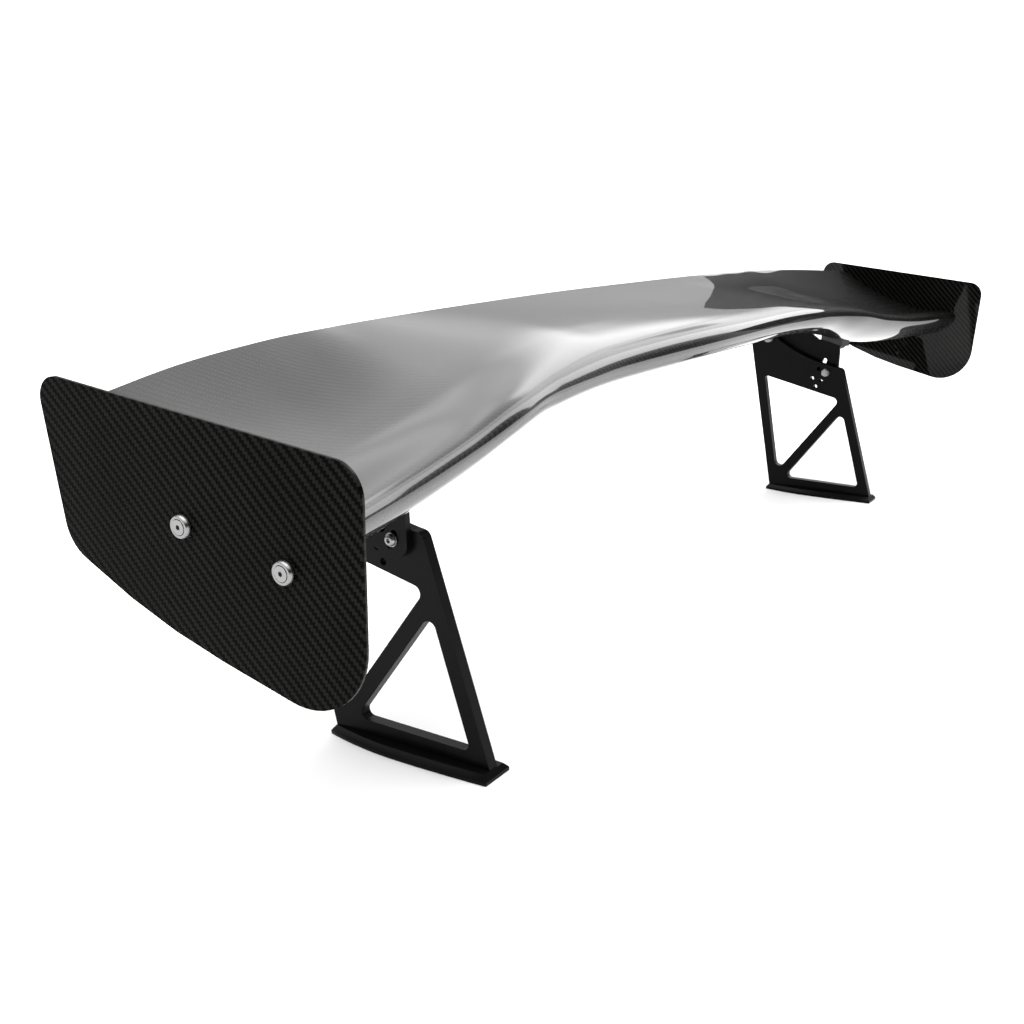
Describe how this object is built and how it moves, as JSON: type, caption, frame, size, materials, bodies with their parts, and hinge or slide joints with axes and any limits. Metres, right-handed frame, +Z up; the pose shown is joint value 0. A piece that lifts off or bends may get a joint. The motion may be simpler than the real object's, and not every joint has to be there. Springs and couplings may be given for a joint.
{
  "type": "racing rear wing",
  "caption": "Rear aerofoil with a raised middle, flat end plates and pierced pedestals; the blade tilts on pivots under slotted clamp brackets.",
  "frame": {"origin": "bottom centre of the bounding box, on the deck plane under the feet", "axes": "X along the span, -Y to the front of the car (the thick edge of the aerofoil), +Z up"},
  "size_m": [1.5582, 0.347, 0.3524],
  "materials": {
    "gloss_carbon": "clear-coated 2x2 twill carbon laminate",
    "satin_carbon": "satin 2x2 twill carbon plate",
    "core_laminate": "bare carbon laminate",
    "core_wood": "plywood",
    "core_block": "paper-phenolic block",
    "insert_brass": "machined",
    "pad_resin": "filled bonding resin",
    "polished_steel": "polished stainless steel",
    "stainless_steel": "turned stainless steel",
    "black_anodised": "satin black anodised",
    "black_steel": "black oxide steel"
  },
  "bodies": {
    "pedestals": {"pedestal_left": "black_anodised", "pedestal_right": "black_anodised", "clamp_bolts": "stainless_steel", "clamp_washers": "stainless_steel", "clamp_nuts": "stainless_steel", "pivot_bolts": "stainless_steel", "pivot_washers": "stainless_steel", "pivot_nuts": "stainless_steel"},
    "wing": {"upper_skin": "gloss_carbon", "lower_skin": "gloss_carbon", "front_spar": "core_laminate", "rear_spar": "core_laminate", "tip_rib_left": "core_wood", "tip_rib_right": "core_wood", "tip_inserts": "insert_brass", "hardpoint_left": "core_block", "hardpoint_right": "core_block", "hardpoint_inserts": "insert_brass", "pads_left": "pad_resin", "pads_right": "pad_resin", "end_plate_left": "satin_carbon", "end_plate_right": "satin_carbon", "tip_washers": "polished_steel", "tip_screws": "stainless_steel", "bracket_left": "black_anodised", "bracket_right": "black_anodised", "bracket_screws": "black_steel"}
  },
  "joints": [
    {"name": "angle_of_attack", "type": "hinge", "parent": "pedestals", "child": "wing", "pos_m": [0, 0.0975, 0.2474], "axis": [1, 0, 0], "range_deg": [-3, 3]}
  ]
}
